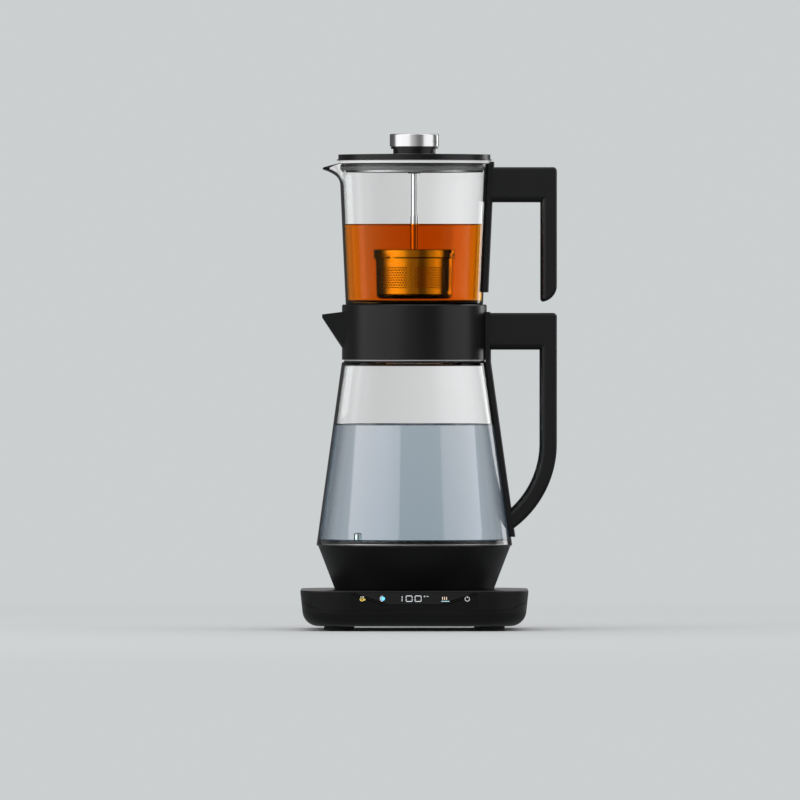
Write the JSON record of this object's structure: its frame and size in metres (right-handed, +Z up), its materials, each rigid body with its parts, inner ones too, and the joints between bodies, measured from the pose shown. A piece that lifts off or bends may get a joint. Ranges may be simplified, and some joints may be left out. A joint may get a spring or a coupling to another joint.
{
  "type": "automatic tea maker",
  "caption": "Glass kettle on a square power base with a glass teapot standing in its collar; lift-off lid carries a twist-off infuser basket on a rod; open handles on one side.",
  "frame": {"origin": "on the vertical axis that connector, kettle, teapot, lid and infuser share, level with the underside of the feet", "axes": "+Z up along the axis; +X towards the handles, so both spouts point to -X; -Y towards the user, where the control panel is"},
  "size_m": [0.1947, 0.1728, 0.3766],
  "materials": {
    "black_plastic": "satin, fine grain",
    "black_gloss": "gloss",
    "glass": "clear borosilicate",
    "steel": "brushed",
    "polished_steel": "polished",
    "clear_silicone": "translucent",
    "black_rubber": "matte",
    "circuit_board": "satin",
    "component_plastic": "satin",
    "display_plastic": "satin",
    "contact_brass": "plain",
    "spreader_aluminium": "plain"
  },
  "bodies": {
    "power_base": {"base_tray": "black_plastic", "base_cover": "black_plastic", "control_panel": "black_gloss", "display_board": "circuit_board", "led_display": "display_plastic", "touch_pads": "display_plastic", "power_board": "circuit_board", "heater_relay": "component_plastic", "mains_terminal": "component_plastic", "front_left_foot": "black_rubber", "front_right_foot": "black_rubber", "rear_left_foot": "black_rubber", "rear_right_foot": "black_rubber", "base_screws": "steel", "base_connector": "black_plastic", "base_contacts": "contact_brass"},
    "coupler": {"kettle_coupler": "black_plastic", "coupler_blades": "contact_brass"},
    "kettle": {"lower_housing": "black_plastic", "housing_floor": "black_plastic", "housing_screws": "steel", "kettle_glass": "glass", "heating_plate": "polished_steel", "plate_seal": "clear_silicone", "heat_spreader": "spreader_aluminium", "heating_element": "steel", "temperature_probe": "polished_steel", "collar": "black_plastic", "kettle_spout": "black_plastic", "neck_seal": "clear_silicone", "kettle_strap": "black_plastic", "kettle_handle": "black_plastic", "kettle_handle_screws": "steel"},
    "teapot": {"teapot_glass": "glass", "teapot_strap": "black_plastic", "teapot_handle": "black_plastic", "teapot_handle_screws": "steel"},
    "lid": {"lid": "black_plastic", "lid_plug": "polished_steel", "lid_seal": "clear_silicone", "knob_core": "black_plastic", "knob_cap": "steel", "knob_nut": "steel", "infuser_rod": "polished_steel", "cross_pin": "polished_steel"},
    "infuser": {"infuser_sleeve": "polished_steel", "infuser_cap": "polished_steel"},
    "basket": {"infuser_basket": "polished_steel"}
  },
  "joints": [
    {"name": "kettle_lift", "type": "slide", "parent": "power_base", "child": "coupler", "axis": [0, 0, 1], "range_m": [0, 0.08]},
    {"name": "kettle_swivel", "type": "hinge", "parent": "coupler", "child": "kettle", "pos_m": [0, 0, 0.0385], "axis": [0, 0, 1], "continuous": true},
    {"name": "teapot_lift", "type": "slide", "parent": "kettle", "child": "teapot", "axis": [0, 0, 1], "range_m": [0, 0.1]},
    {"name": "lid_lift", "type": "slide", "parent": "teapot", "child": "lid", "axis": [0, 0, 1], "range_m": [0, 0.12]},
    {"name": "infuser_twist", "type": "hinge", "parent": "lid", "child": "infuser", "pos_m": [0, 0, 0.3092], "axis": [0, 0, 1], "range_deg": [0, 45]},
    {"name": "basket_twist", "type": "hinge", "parent": "infuser", "child": "basket", "pos_m": [0, 0, 0.2846], "axis": [0, 0, 1], "range_deg": [0, 25]}
  ]
}
